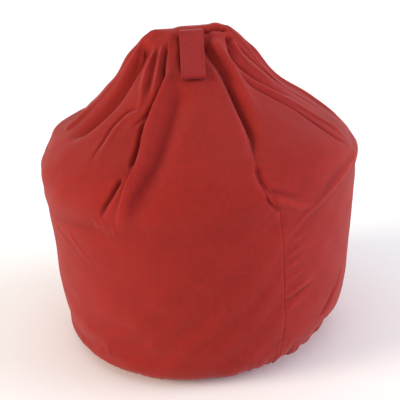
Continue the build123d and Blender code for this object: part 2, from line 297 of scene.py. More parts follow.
# The back, which follows the same pattern: two deep pleats, gathers between them, and lobes over the wall.
BACK_FOLDS = [
    (-15, 8, 8, 0.1, 0.4, {722: 133, 690: 138, 650: 143, 600: 146, 550: 147, 500: 150}),
    (9, 12, 9, 0.15, 0.5, {720: 122, 680: 127, 630: 133, 580: 136}),
    (-14, 8, 7, 0.1, 0.4, {724: -163, 690: -167, 650: -170, 600: -172, 550: -172, 490: -169}),
    (9, 9, 14, 0.15, 0.5, {722: -154, 680: -157, 630: -160, 570: -161}),
    (-11, 8, 10, 0.15, 0.5, {720: -122, 680: -120, 620: -124, 560: -128}),
    (6, 7, 7, 0.15, 0.5, {722: -134, 680: -134, 640: -138}),
    (-9, 7, 8, 0.15, 0.5, {720: 112, 680: 113, 620: 118, 550: 121}),
    (6, 6, 6, 0.15, 0.5, {724: 160, 690: 163, 650: 165}),
    (-6, 6, 6, 0.15, 0.5, {724: 174, 690: 175, 640: 178, 590: 180}),
    (-5, 9, 15, 0.15, 0.3, {405: 100, 392: 116, 388: 132, 400: 150}),
    (-5, 9, 15, 0.15, 0.3, {470: -146, 440: -132, 415: -118, 400: -104}),
    (3, 5, 5, 0.3, 0.5, {330: 170, 312: 176, 300: 184}),
    (3, 5, 5, 0.3, 0.5, {350: 118, 322: 112, 300: 108}),
]

DRAWN_BEARING = 58.0  # where the hem is drawn up, how far round, how high and how far in
DRAWN_SPREAD = 34.0
DRAWN_UP = 0.018
DRAWN_IN = 0.013
FOOT_SHIFT = 0.010
HEM_TUCKS = 19  # half-waves of the tucks the hem is drawn into, round the whole hem
HEM_TUCK = 0.009
RIDGE_BACK = 0.007
RIDGE_LIP = 0.0045  # how far the ridge seam stands up behind the strap
KNUCKLE_X, KNUCKLE_SPREAD, KNUCKLE_RISE = 0.054, 0.020, 0.0085
GROOVE = 0.0022  # half width of the groove along a seam
HEM_GROOVE = 0.0028

# Broad swellings: bearing, height, spread in degrees, spread in metres, rise in millimetres.
SWELLINGS = [
    (-60, 0.450, 24, 0.060, 6), (56, 0.500, 20, 0.050, 8), (-2, 0.600, 13, 0.060, 5), (118, 0.470, 22, 0.055, 8),
    (-115, 0.480, 20, 0.055, 8), (172, 0.460, 22, 0.055, 7), (0, 0.390, 40, 0.030, -1.5),
    (-104, 0.553, 18, 0.017, -13), (-90, 0.488, 14, 0.022, -8), (-97, 0.520, 9, 0.010, 5),
    (83, 0.462, 10, 0.014, 6), (105, 0.575, 14, 0.035, 6), (-97, 0.618, 14, 0.022, 7), (83, 0.425, 14, 0.020, -3),
    (-83, 0.432, 20, 0.035, -8), (-82, 0.300, 22, 0.070, -6), (-75, 0.060, 32, 0.060, -8),
    (75, 0.100, 25, 0.040, 5), (-98, 0.690, 18, 0.045, 17), (98, 0.690, 16, 0.045, 8),
]


def drawn_share(bearing, spread=DRAWN_SPREAD):
    """How much the hem is drawn up at a bearing, 0 to 1."""
    return bump(turn_from(bearing, DRAWN_BEARING), spread)


def undulation(bearing, height):
    """Soft unevenness of the beads, and puckers along the hem and beside the seams, in metres."""
    rng = np.random.default_rng(11)
    total = np.zeros(np.shape(bearing))
    for _ in range(16):
        turns, rise, phase = rng.integers(4, 26), rng.uniform(-70, 70), rng.uniform(0, 2 * np.pi)
        total += rng.uniform(0.1, 0.32) * MM * np.sin(turns * np.radians(bearing) + rise * height + phase)
    puckers = np.zeros(np.shape(bearing))
    for turns in (61, 83, 97, 130):
        phase = rng.uniform(0, 2 * np.pi)
        puckers += np.sin(turns * np.radians(bearing) + phase + 8 * height) * rng.uniform(0.5, 1)
    drawn = drawn_share(bearing)
    near_hem = np.exp(-((height - HEM_HEIGHT) / (0.016 + 0.016 * drawn)))
    total += puckers * near_hem * (0.35 + 1.1 * drawn) * MM
    beside = bump(round_to(bearing, seam_line(height), CLOTH_RADIUS), 0.012)
    total += 0.35 * MM * np.sin(height / 0.0026 + 3 * np.sin(height * 40)) * beside
    return total


def sculpted(bearing, height):
    """The sheet with every fold on it at grids of bearings and heights, and how far out each point is."""
    points = smooth_bag(bearing, height)
    normal = bag_normals(bearing, height)
    out = undulation(bearing, height)
    tangent = np.zeros(points.shape)
    for row in FRONT_FOLDS + BACK_FOLDS:
        fold(points, out, tangent, *row)
    for b, z, wide, tall, rise in SWELLINGS:
        out += rise * MM * np.exp(-((turn_from(bearing, b) / wide) ** 2) - ((height - z) / tall) ** 2)
    loose = (1 - zip_hold(bearing, height)) * (1 - smooth(RIDGE_HEIGHT - 0.001, HEIGHTS[-1], height))
    out *= loose
    away = np.hypot(points[..., 0], points[..., 1])
    seam, closed = (bump(round_to(bearing, middle, away), GROOVE) for middle in (seam_line(height), ZIP_BEARING))
    out -= 1.1 * MM * (seam + closed) * loose
    out -= 1.4 * MM * bump(height - HEM_HEIGHT, HEM_GROOVE)
    points = points + normal * out[..., None] + tangent * loose[..., None]
    return settled(points, bearing, height), out


def settled(points, bearing, height):
    """The bag as it stands: its foot, its drawn-up and tucked hem, and its ridge with a lip and a knuckle."""
    loose = 1 - zip_hold(bearing, height)
    low = (1 - smooth(HEM_HEIGHT, 0.180, height)) * loose
    foot = 1 - smooth(HEM_HEIGHT, 0.110, height)
    drawn = drawn_share(bearing)
    turns = np.radians(bearing)
    wave = 1.6 * np.sin(5 * turns + 1) + 1.3 * np.sin(11 * turns + 2) + np.sin(23 * turns) + np.sin(37 * turns)
    tucks = (np.abs(np.sin(HEM_TUCKS * turns + 0.8)) - 0.6) * drawn * (1 - smooth(HEM_HEIGHT, 0.075, height)) * loose
    inward = 1 - (DRAWN_IN * drawn * low - HEM_TUCK * tucks) / np.hypot(points[..., 0], points[..., 1])
    points = points * np.stack([inward, inward, np.ones_like(inward)], -1)
    points[..., 0] -= FOOT_SHIFT * low
    points[..., 2] += (DRAWN_UP * drawn + wave * MM * (0.40 + 1.4 * drawn)) * foot - 0.8 * HEM_TUCK * tucks
    x = points[..., 0]
    points[..., 1] += RIDGE_BACK * smooth(0.700, RIDGE_HEIGHT, height)
    lip = RIDGE_LIP * bump(x, 0.036, 6) * smooth(RIDGE_HEIGHT + 0.001, HEIGHTS[-1], height)
    knuckle = KNUCKLE_RISE * bump(x - KNUCKLE_X, KNUCKLE_SPREAD) * smooth(0.722, HEIGHTS[-1] - 0.002, height)
    points[..., 2] += lip + knuckle
    return points


# --- Mesh helpers ---
def mesh_object(name, verts, faces, material=None):
    """A new smooth-shaded object from points and faces."""
    mesh = bpy.data.meshes.new(name)
    mesh.from_pydata(verts.reshape(-1, 3).tolist(), [], [list(map(int, f)) for f in faces])
    mesh.update()
    mesh.shade_smooth()
    piece = bpy.data.objects.new(name, mesh)
    bpy.context.scene.collection.objects.link(piece)
    if material:
        mesh.materials.append(material)
    return piece


def grid_faces(rows, columns, wrapped=False):
    """Faces of a grid of points, rows upwards and columns to the right."""
    k = np.arange(rows * columns).reshape(rows, columns)
    right = np.roll(k, -1, axis=1) if wrapped else k[:, 1:]
    left = k if wrapped else k[:, :-1]
    return np.stack([left[:-1], right[:-1], right[1:], left[1:]], -1).reshape(-1, 4)


def capped(rows, columns, inwards=False):
    """Faces of a wrapped grid closed at both ends, turned over if its rows run the other way."""
    k = list(range(columns)), list(range((rows - 1) * columns, rows * columns))
    sides = grid_faces(rows, columns, wrapped=True)
    if inwards:
        return sides[:, ::-1].tolist() + [k[0], k[1][::-1]]
    return sides.tolist() + [k[0][::-1], k[1]]


def tube(path, radius, guide, sides=6):
    """Points and faces of a round tube along a path, closed at its ends. Its first side is square to the guide."""
    ahead = unit(np.gradient(path, axis=0))
    side = unit(np.cross(ahead, guide))
    up = np.cross(side, ahead)
    turn = np.linspace(0, 2 * np.pi, sides, endpoint=False)
    ring = np.cos(turn)[:, None] * side[:, None] + np.sin(turn)[:, None] * up[:, None]
    verts = path[:, None] + ring * np.broadcast_to(radius, len(path))[:, None, None]
    return verts.reshape(-1, 3), capped(len(path), sides, inwards=True)


def stamped(template, centres, along, out):
    """A template (points along, across and out, and faces) repeated at centres in their own directions."""
    verts, faces = template
    along, out = unit(along), unit(out)
    across = np.cross(out, along)
    placed = (
        centres[:, None]
        + verts[None, :, :1] * along[:, None]
        + verts[None, :, 1:2] * across[:, None]
        + verts[None, :, 2:] * out[:, None]
    )
    return joined(*((points, faces) for points in placed))


def joined(*parts):
    """Several (points, faces) pairs as one."""
    faces, count = [], 0
    for v, f in parts:
        faces += [[i + count for i in face] for face in f]
        count += len(v)
    return np.concatenate([v for v, _ in parts]), faces


STITCH_PITCH = 0.0036
STITCH_LENGTH = 0.0029
THREAD = 0.00036
STITCH_LINE = np.array([(-0.5, -0.9), (-0.42, -0.1), (-0.2, 0.5), (0, 0.7), (0.2, 0.5), (0.42, -0.1), (0.5, -0.9)])
STITCH_WIDTHS = np.array([0.5, 0.9, 1, 1, 1, 0.9, 0.5])


def stitches(path, out):
    """A row of stitches along a path, sunk into the cloth at their ends. out is one direction or one for each point."""
    along, sag = STITCH_LINE.T
    line = np.stack([along * STITCH_LENGTH, 0 * along, sag * THREAD], -1)
    template = tube(line, THREAD * STITCH_WIDTHS, (0, 1, 0))
    far = distances(path)
    t = np.linspace(0, far[-1], max(int(round(far[-1] / STITCH_PITCH)), 2) + 1)
    points = np.stack([np.interp(t, far, path[:, k]) for k in range(3)], -1)
    centres, along = (points[1:] + points[:-1]) / 2, np.diff(points, axis=0)
    out = np.broadcast_to(out, path.shape)
    nearest = [int(np.argmin(((path - c) ** 2).sum(1))) for c in centres]
    normal = out[nearest] - along * ((out[nearest] * along).sum(1) / (along**2).sum(1))[:, None]
    return stamped(template, centres, along, normal)


# --- Materials ---
class Finish:
    """A material as it is built: its Principled shader, and short ways to add nodes."""

    def __init__(self, name, **values):
        self.material = bpy.data.materials.new(name)
        self.material.use_nodes = True
        self.tree = self.material.node_tree
        self.shade(**values)

    def feed(self, made, inputs):
        """Give a node its inputs: plain values, or links from other nodes' outputs."""
        for key, value in inputs.items():
            if isinstance(value, bpy.types.NodeSocket):
                self.tree.links.new(value, made.inputs[key])
            else:
                made.inputs[key].default_value = value

    def shade(self, **values):
        """Set or link the Principled shader's own sockets."""
        self.feed(self.tree.nodes["Principled BSDF"], {key.replace("_", " "): v for key, v in values.items()})

    def node(self, kind, output, inputs=None, **settings):
        """One output of a new node."""
        made = self.tree.nodes.new("ShaderNode" + kind)
        for key, value in settings.items():
            setattr(made, key, value)
        self.feed(made, inputs or {})
        return made.outputs[output]

    def place(self):
        """Where a point is on its piece."""
        return self.node("TexCoord", "Object")

    def noise(self, place, scale, detail, output="Fac", **inputs):
        """A noise texture."""
        return self.node("TexNoise", output, {"Vector": place, "Scale": scale, "Detail": detail, **inputs})

    def threads(self, place, stretch):
        """Noise drawn out along one direction."""
        mapped = self.node("Mapping", 0, {"Vector": place, "Scale": stretch})
        return self.noise(mapped, 1.0, 2, "Color")

    def ramp(self, factor, *stops):
        """A colour ramp through (position, colour or grey) stops."""
        colour = self.node("ValToRGB", "Color", {"Fac": factor})
        elements = colour.node.color_ramp.elements
        while len(elements) < len(stops):
            elements.new(0.5)
        for element, (place, value) in zip(elements, stops):
            element.position = place
            element.color = (*(value if isinstance(value, tuple) else (value,) * 3), 1)
        return colour

    def mix(self, factor, a, b, blend="OVERLAY"):
        """Two colours mixed. The Mix node's sockets 6 and 7 and its output 2 are its colours."""
        return self.node("Mix", 2, {0: factor, 6: a, 7: b}, data_type="RGBA", blend_type=blend)

    def bump(self, height, strength, distance, **inputs):
        """A normal from a height, over another normal where one is given."""
        return self.node("Bump", "Normal", {"Height": height, "Strength": strength, "Distance": distance, **inputs})

    def between(self, value, low, high):
        """A value from 0 to 1 spread from low to high."""
        return self.node("MapRange", "Result", {"Value": value, "To Min": low, "To Max": high})


def scaled(colour, factor):
    """A colour made darker or lighter."""
    return tuple(c * factor for c in colour)


DRILL = (0.264, 0.0132, 0.0096)
TWILL_SCALE = 400  # diagonal ribs about 1.1 mm apart


def drill_cloth(name, colour):
    """Cotton drill: ribs, uneven yarn and soft blotches, with painted shade: paler along folds and darker in creases.
    """
    cloth = Finish(
        name, Sheen_Weight=0.18, Sheen_Roughness=0.42, Sheen_Tint=(1.0, 0.62, 0.62, 1), Specular_IOR_Level=0.18
    )
    place = cloth.node("Attribute", "Vector", attribute_name="cloth")
    wear = cloth.node("Attribute", "Fac", attribute_name="wear")
    blotch = cloth.noise(place, 9, 3, Roughness=0.55)
    fade = cloth.noise(place, 70, 4, Roughness=0.6)
    ribs = cloth.node(
        "TexWave",
        "Fac",
        {"Vector": place, "Scale": TWILL_SCALE, "Distortion": 1.2, "Detail": 1, "Detail Scale": 2},
        bands_direction="DIAGONAL",
    )
    yarn = cloth.mix(0.5, cloth.threads(place, (60, 900, 900)), cloth.threads(place, (900, 45, 900)), "MIX")
    tone = cloth.ramp(blotch, (0.30, scaled(colour, 0.95)), (0.70, scaled(colour, 1.05)))
    tone = cloth.mix(0.5, tone, cloth.ramp(fade, (0.3, 0.42), (0.7, 0.58)))
    tone = cloth.mix(0.45, tone, cloth.ramp(yarn, (0.3, 0.30), (0.7, 0.70)))
    tone = cloth.mix(0.20, tone, cloth.ramp(ribs, (0.1, 0.30), (0.7, 0.62)))
    # Painted shade and highlight: the fold shade attribute darkens the cloth in creases and lightens it along folds.
    fold_shade_tone = cloth.ramp(wear, (0.0, (0.38, 0.30, 0.34)), (0.5, 0.5), (1.0, (0.58, 0.60, 0.57)))
    rib_bump = cloth.bump(ribs, 0.35, 0.00016)
    yarn_bump = cloth.bump(yarn, 0.30, 0.00016, Normal=rib_bump)
    cloth.shade(
        Base_Color=cloth.mix(0.9, tone, fold_shade_tone),
        Roughness=cloth.between(fade, 0.80, 0.96),
        Normal=cloth.bump(fade, 0.10, 0.0012, Normal=yarn_bump),
    )
    return cloth.material


def woven(name, colour, scale, roughness=0.85, contrast=0.25, sheen=0.1):
    """A plain woven tape or calico: threads over and under, with uneven yarn."""
    cloth = Finish(name, Roughness=roughness, Sheen_Weight=sheen, Specular_IOR_Level=0.25)
    place = cloth.place()
    across, along = (
        cloth.node("TexWave", "Color", {"Vector": place, "Scale": scale, "Distortion": 0.6}, bands_direction=axis)
        for axis in "XZ"
    )
    weave = cloth.mix(1.0, across, along, "MULTIPLY")
    uneven = cloth.noise(place, scale / 3, 4)
    tone = cloth.ramp(uneven, (0.3, scaled(colour, 0.9)), (0.7, scaled(colour, 1.08)))
    lit = cloth.ramp(weave, (0.0, scaled(colour, 1 - contrast)), (0.6, scaled(colour, 1 + contrast / 2)))
    cloth.shade(Base_Color=cloth.mix(0.5, tone, lit, "MIX"), Normal=cloth.bump(weave, 0.4, 0.0003))
    return cloth.material


def painted(name, colour):
    """Satin paint on die-cast zinc, duller where fingers rub it."""
    paint = Finish(name, Coat_Weight=0.35, Coat_Roughness=0.25)
    place = paint.place()
    grain, smear = paint.noise(place, 2200, 2), paint.noise(place, 260, 3)
    paint.shade(
        Base_Color=paint.ramp(smear, (0.3, scaled(colour, 0.85)), (0.7, scaled(colour, 1.08))),
        Roughness=paint.between(smear, 0.28, 0.45),
        Normal=paint.bump(grain, 0.2, 0.00005),
    )
    return paint.material


def moulded(name, colour, roughness):
    """Smooth nylon or polystyrene with a faint grain."""
    plastic = Finish(name)
    grain = plastic.noise(plastic.place(), 900, 3)
    plastic.shade(
        Base_Color=plastic.ramp(grain, (0.3, scaled(colour, 0.9)), (0.7, scaled(colour, 1.06))),
        Roughness=plastic.between(grain, roughness, roughness + 0.2),
    )
    return plastic.material


cover_cloth = drill_cloth("cotton_drill", DRILL)
strap_cloth = drill_cloth("strap_drill", (DRILL[0] * 0.97, DRILL[1] * 1.12, DRILL[2] * 1.50))
thread_material = woven("red_thread", scaled(DRILL, 1.15), 1800, sheen=0.2)
binding_cloth = woven("binding_tape", scaled(DRILL, 0.9), 600)
tape_cloth = woven("zip_tape", scaled(DRILL, 0.85), 700)
coil_nylon = moulded("zip_coil_nylon", (0.30, 0.018, 0.016), 0.35)
zip_paint = painted("zip_paint", (0.33, 0.03, 0.03))
label_satin = woven("label_satin", (0.82, 0.81, 0.78), 1100, roughness=0.55, contrast=0.12, sheen=0.3)
calico = woven("liner_calico", (0.78, 0.75, 0.68), 500)
liner_tape_cloth = woven("liner_zip_tape", (0.80, 0.79, 0.76), 700)
liner_coil_nylon = moulded("liner_coil_nylon", (0.80, 0.79, 0.77), 0.35)
polystyrene = moulded("polystyrene_beads", (0.86, 0.86, 0.85), 0.5)


def add_piece(name, verts, faces, material, body, nodes, slot, fill=None, **attributes):
    """A new piece: its body and the CAD nodes it stands for. Its slot is not used, and how full it is if it is padded
    is not used either.
    """
    piece = mesh_object(name, verts, faces, material)
    for key, values in attributes.items():
        kind, field = ("FLOAT_VECTOR", "vector") if values.shape[-1] == 3 else ("FLOAT", "value")
        piece.data.attributes.new(key, kind, "POINT").data.foreach_set(field, values.ravel())
    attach(piece, body)
    if nodes:
        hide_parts(*nodes)
    return piece


# --- Cloth simulation: the whole sheet, a little too large for its place, hangs between its seams ---
SIM_COLUMNS = 300
SIM_ROWS = 112
SIM_FRAMES = 12
SIM_CAP = 0.005
PIN_LEVELS = 10
CLOTH_SETTINGS = dict(
    quality=5, mass=0.25, tension_stiffness=25, compression_stiffness=25, shear_stiffness=8, bending_stiffness=0.15,
    tension_damping=10, compression_damping=10, shear_damping=10, bending_damping=0.8, vertex_group_mass="held",
    pin_stiffness=1, vertex_group_shrink="fitted", shrink_min=-0.014, shrink_max=-0.002, use_pressure=True,
    uniform_pressure_force=4.0,
)


def simulated_moves():
    """How far the cloth simulation moves each point of a coarse grid of the sheet."""
    heights = profile_rows(SIM_ROWS)
    bearing, height = np.meshgrid(all_round(SIM_COLUMNS), heights)
    start, _ = sculpted(bearing, height)
    sheet = mesh_object("sim_sheet", start, grid_faces(SIM_ROWS, SIM_COLUMNS, wrapped=True))
    on_seam = np.abs(turn_from(bearing, SEAM_BEARING)) < 0.6
    held = np.maximum.reduce([
        zip_hold(bearing, height),
        1 - smooth(0.0, 0.030, height - HEM_HEIGHT),
        smooth(RIDGE_HEIGHT - 0.030, RIDGE_HEIGHT - 0.006, height),
        on_seam * (1 - smooth(0.40, 0.50, height)),
    ])
    for name, weights in (("held", held), ("fitted", 1 - smooth(0.36, 0.52, height))):
        group = sheet.vertex_groups.new(name=name)
        levels = np.ceil(weights.ravel() * PIN_LEVELS).astype(int)
        for level in range(1, PIN_LEVELS + 1):
            chosen = np.nonzero(levels == level)[0]
            if len(chosen):
                group.add(chosen.tolist(), level / PIN_LEVELS, "REPLACE")
    cloth = sheet.modifiers.new("Cloth", "CLOTH")
    for key, value in CLOTH_SETTINGS.items():
        setattr(cloth.settings, key, value)
    cloth.settings.effector_weights.gravity = 0.15
    cloth.collision_settings.use_collision = False
    cloth.collision_settings.use_self_collision = False
    cloth.point_cache.frame_start = 1
    cloth.point_cache.frame_end = SIM_FRAMES
    for frame_number in range(1, SIM_FRAMES + 1):
        bpy.context.scene.frame_set(frame_number)
    relaxed = sheet.evaluated_get(bpy.context.evaluated_depsgraph_get()).data
    coords = np.empty(len(relaxed.vertices) * 3)
    relaxed.vertices.foreach_get("co", coords)
    moves = coords.reshape(start.shape) - start
    bpy.data.meshes.remove(sheet.data)  # and the sheet with it
    bpy.context.scene.frame_set(1)
    size = np.linalg.norm(moves, axis=-1, keepdims=True)
    moves *= SIM_CAP * np.tanh(size / SIM_CAP) / np.maximum(size, 1e-9)
    return moves * (1 - held)[..., None], heights


def sampled(moves, heights, bearing, height):
    """The moves at any bearings and heights, through a smooth kernel that wraps round the bag."""
    column = (bearing + 180) / 360 * SIM_COLUMNS
    row = np.interp(height, heights, np.arange(len(heights)))
    first_column, first_row = np.floor(column).astype(int), np.floor(row).astype(int)

    def taps(t):
        return (1 - t) ** 3 / 6, (3 * t**3 - 6 * t**2 + 4) / 6, (-3 * t**3 + 3 * t**2 + 3 * t + 1) / 6, t**3 / 6

    total = np.zeros((*bearing.shape, 3))
    for i, by_row in enumerate(taps(row - first_row)):
        r = np.clip(first_row + i - 1, 0, len(heights) - 1)
        for j, by_column in enumerate(taps(column - first_column)):
            c = (first_column + j - 1) % SIM_COLUMNS
            total += moves[r, c] * (by_row * by_column)[..., None]
    return total


simulated = simulated_moves()


def cover_points(bearing, height):
    """The finished cover at grids of bearings and heights, and how far out each point is."""
    points, out = sculpted(bearing, height)
    if simulated is not None:
        points = points + sampled(*simulated, bearing, height)
    return points, out


# --- Cover panels ---
SEAM_STEPS = (0, 0.10, 0.22, 0.36, 0.52, 0.72)  # degrees: columns close together beside a seam
HEM_STEPS = (0, 0.0008, 0.0018, 0.0030, 0.0045)  # and rows above the hem
ALLOWANCE = [(0.0, -0.5), (0.2, -1.0), (1.2, -1.35), (4.0, -1.5), (8.0, -1.6)]  # along and under the fabric, mm
TOP_DEPTHS = (0.0012, 0.004, 0.010)  # where the ridge's edges turn down inside
INTO_RIDGE = 0.0004
# Painted fold shade: how often the fold heights are blurred, and the difference from the blur that spans the whole
# shade.
FOLD_SHADE_BLURS = 14
FOLD_SHADE_DEPTH = 0.0030
PADDING = 0.85


def slot_half(height):
    """Half the width of the zip's slot at a height, in degrees of bearing."""
    gap = smooth(ZIP_LOW - 0.002, ZIP_LOW + 0.008, height) * (1 - smooth(ZIP_HIGH - 0.008, ZIP_HIGH + 0.002, height))
    return np.degrees(SLOT_HALF / np.interp(height, WALL_HEIGHTS, WALL_RADII)) * gap


def turned_in(edge, inner, outward):
    """Rows of a fabric edge folded under, innermost first. inner is a row of fabric beside the edge."""
    back = unit(inner - edge)
    return [edge + back * a * MM + outward * b * MM for a, b in ALLOWANCE[::-1]]


def wear_of(out):
    """The painted fold shade at each point, from 0 in creases, where it darkens the cloth, to 1 along folds, where it
    lightens it.
    """
    blurred = out.copy()
    for _ in range(FOLD_SHADE_BLURS):
        wide = np.pad(blurred, 1, mode="edge")
        blurred = (wide[:-2, 1:-1] + wide[2:, 1:-1] + wide[1:-1, :-2] + wide[1:-1, 2:]) / 4
    return np.clip(0.5 + (out - blurred) / FOLD_SHADE_DEPTH, 0, 1)


def cover_panel(name, start, end, cad_node):
    """One body panel of the cover, between the plain seam and the zip, with its edges turned in."""
    steps = np.array(SEAM_STEPS)
    u = np.concatenate([steps, np.linspace(1.0, 179.0, COLUMNS - 2 * len(steps)), 180 - steps[::-1]]) / 180
    heights = profile_rows(ROWS)
    heights = np.concatenate([HEM_HEIGHT + np.array(HEM_STEPS), heights[heights > 0.0215]])
    at_zip = slot_half(heights)[:, None]
    shift = seam_line(heights)[:, None] - SEAM_BEARING
    low = start + (at_zip if start == ZIP_BEARING else shift)
    high = end - (at_zip if end != SEAM_BEARING else -shift)
    bearing = low + (high - low) * u[None]
    height = np.repeat(heights[:, None], len(u), axis=1)
    points, out = cover_points(bearing, height)
    along = distances(smooth_bag(start + 90, heights))
    cloth = np.stack(np.broadcast_arrays(np.radians(bearing) * CLOTH_RADIUS, along[:, None], 0), -1)

    outward = unit(np.cross(np.gradient(points, axis=1), np.gradient(points, axis=0)))
    first = turned_in(points[:, 0], points[:, 3], outward[:, 0])
    last = turned_in(points[:, -1], points[:, -4], outward[:, -1])[::-1]
    grid = np.concatenate([np.stack(first, 1), points, np.stack(last, 1)], axis=1)
    count = len(ALLOWANCE)
    hem = turned_in(grid[0], grid[3], np.pad(outward[0], ((count, count), (0, 0)), "edge"))
    inside = np.sign(grid[-1][:, 1] - RIDGE_BACK)[:, None] * [0, -INTO_RIDGE, 0]
    top = [grid[-1] + inside + [0, 0, -depth] for depth in TOP_DEPTHS]
    grid = np.concatenate([np.stack(hem), grid, np.stack(top)])
    turned = ((count, len(top)), (count, count))
    return add_piece(
        name, grid, grid_faces(*grid.shape[:2]), cover_cloth, "bag", [cad_node], "cover_fabric", PADDING,
        # painted fold shade: darker in creases, paler along folds
        wear=np.pad(wear_of(out), turned, "edge").ravel(),
        cloth=np.pad(cloth, (*turned, (0, 0)), "edge").reshape(-1, 3),
    )


cover_panel("cover_front", ZIP_BEARING, SEAM_BEARING, "cover_front_panel")
cover_rear = cover_panel("cover_rear", SEAM_BEARING, ZIP_BEARING + 360, "cover_rear_panel")


def cover_base():
    """The base panel: up to the hem all round, and flat on the floor inside that."""
    columns = 480
    bearing = all_round(columns)[None]
    hem = cover_points(bearing, np.full(bearing.shape, HEM_HEIGHT))[0][0]
    centre = np.array([-FOOT_SHIFT, 0, 0])
    reach = 0.020 + 1.1 * hem[:, 2]
    radius = np.linalg.norm((hem - centre)[:, :2], axis=1)
    rows = []
    for step in (0, 0.0008, 0.0018, 0.003, *np.linspace(0.005, 0.075, 22), *np.linspace(0.085, 0.3, 18)):
        share = np.clip(step / radius, 0, 0.985)
        row = hem.copy()
        row[:, :2] = hem[:, :2] + (centre[:2] - hem[:, :2]) * share[:, None]
        row[:, 2] = hem[:, 2] * (1 - smooth(0, 1, step / reach)) ** 1.3
        rows.append(row)
    verts = np.concatenate([*rows[::-1], [centre]])
    faces = grid_faces(len(rows), columns, wrapped=True).tolist()
    faces += [[i, len(verts) - 1, (i + 1) % columns] for i in range(columns)]
    add_piece(
        "cover_base", verts, faces, cover_cloth, "bag", ["cover_base_panel"], "cover_fabric", PADDING,
        # no painted fold shade on the base: 0.5 leaves its colour as it is
        wear=np.full(len(verts), 0.5), cloth=verts * [1, 1, 0],
    )


cover_base()


# --- Liner bag and beads, drawn a little inside their CAD solids so that the cover's pleats clear them ---
def inner_bag(name, inset, top_inset, material, slot, nodes):
    """A closed bag that follows the cover's smooth shape, set in, with a flat base."""
    rows, columns = 90, 200
    top = HEIGHTS[-5]
    bearing, height = np.meshgrid(all_round(columns), np.linspace(HEM_HEIGHT, top, rows))
    points = smooth_bag(bearing, height)
    depth = inset + (top_inset - inset) * smooth(0.40, 0.50, height)
    low = 1 - smooth(HEM_HEIGHT, 0.130, height)
    depth = depth + low * (0.012 + (DRAWN_IN + 0.022) * drawn_share(bearing, DRAWN_SPREAD * 1.25))
    radius = np.linalg.norm(points[..., :2], axis=-1)
    points[..., :2] *= np.maximum(1 - depth / radius, 0.25)[..., None]
    points[..., 0] -= FOOT_SHIFT * low
    share = (height - HEM_HEIGHT) / (top - HEM_HEIGHT)
    points[..., 2] += (inset - 0.010) * (1 - share) - (top_inset - 0.010) * share
    rng = np.random.default_rng(5)
    for _ in range(10):
        turns, rise, phase = rng.integers(3, 14), rng.uniform(-40, 40), rng.uniform(0, 6.3)
        wave = 0.4 * MM * np.sin(turns * np.radians(bearing) + rise * height + phase)
        points[..., :2] += wave[..., None] * points[..., :2] / radius[..., None]
    floor_height = points[0][:, 2].min() * 0.55
    base = [points[0] * [share, share, 0] + [0, 0, floor_height] for share in (0.02, 0.4, 0.8, 0.93)]
    grid = np.concatenate([base, points, [points[-1] * [share, share, 1] for share in (0.8, 0.4, 0.02)]])
    add_piece(name, grid, capped(len(grid), columns), material, "bag", nodes, slot, PADDING)


liner_panels = [f"liner_{place}_panel" for place in ("wall", "top", "base")]
inner_bag("liner_bag", 0.015, 0.040, calico, "liner_fabric", liner_panels)
inner_bag("bead_filling", 0.0195, 0.046, polystyrene, "beads", ["bead_fill"])

# --- Carry handle: a strap folded into a loop, whose two ends are sewn down on the ridge ---
STRAP_HALF = (SEWN_HIGH.x - SEWN_LOW.x) / 2
STRAP_THICK = 0.0020
STITCH_INSET = 0.86  # share of the strap's half width
HINGE = np.array([0, SEWN_LOW.y - 0.0024, SEWN_HIGH.z])
HANDLE_LENGTH = 0.142
HANDLE_SLOPE = math.radians(36)
LOOP_GAP = 0.008
FOLD_START = HANDLE_LENGTH - LOOP_GAP / 2 - STRAP_THICK
DOWN_SLOPE = np.array([0, -math.cos(HANDLE_SLOPE), -math.sin(HANDLE_SLOPE)])
OUT_OF_SLOPE = np.array([0, -math.sin(HANDLE_SLOPE), math.cos(HANDLE_SLOPE)])
OUT_OF_RIDGE = (0, -0.12, 1)


def strap(path, ripple=0.0):
    """Points, faces, painted fold shade and cloth places of a strap along a path in the YZ plane."""
    normal = np.cross([1.0, 0, 0], unit(np.gradient(path, axis=0)))
    t = np.linspace(-1, 1, 31)
    x = np.sign(t) * (1 - (1 - np.abs(t)) ** 2.4)
    swell = (1 - np.abs(x) ** 26) ** 0.5 * (1 + 0.16 * bump(1 - np.abs(x), 0.05))
    groove = 1 - 0.28 * bump(np.abs(x) - STITCH_INSET, 0.022)
    section = np.concatenate([np.stack([x, swell * groove], -1), np.stack([x, -swell * groove], -1)[-2:0:-1]])
    along = distances(path)
    wave = ripple * np.sin(along / 0.019)[:, None] * section[None, :, 0] ** 3
    narrow = 1 - 0.012 * bump(along - along[-1] / 2, 0.03)
    verts = (
        path[:, None]
        + [1.0, 0, 0] * (section[None, :, :1] * STRAP_HALF * narrow[:, None, None])
        + normal[:, None] * (section[None, :, 1:] * STRAP_THICK / 2 + wave[..., None])
    )
    faces = capped(len(path), len(section), inwards=True)
    # Painted fold shade: paler towards the strap's rolled edges, neutral across its middle.
    wear = 0.5 + 0.35 * np.abs(section[:, 0]) ** 20 + 0 * along[:, None]
    cloth = np.stack(np.broadcast_arrays(section[:, 0] * STRAP_HALF, along[:, None], 0), -1)
    return verts.reshape(-1, 3), faces, wear.ravel(), cloth.reshape(-1, 3)


def strap_object(name, parts, body, nodes):
    """One object of several straps."""
    wear, cloth = (np.concatenate([part[k] for part in parts]) for k in (2, 3))
    shape = joined(*[part[:2] for part in parts])
    add_piece(name, *shape, strap_cloth, body, nodes, "strap_fabric", wear=wear, cloth=cloth)


def thread_object(name, rows, body, slot="strap_fabric"):
    """One object of several rows of stitches."""
    add_piece(name, *joined(*rows), thread_material, body, [], slot)


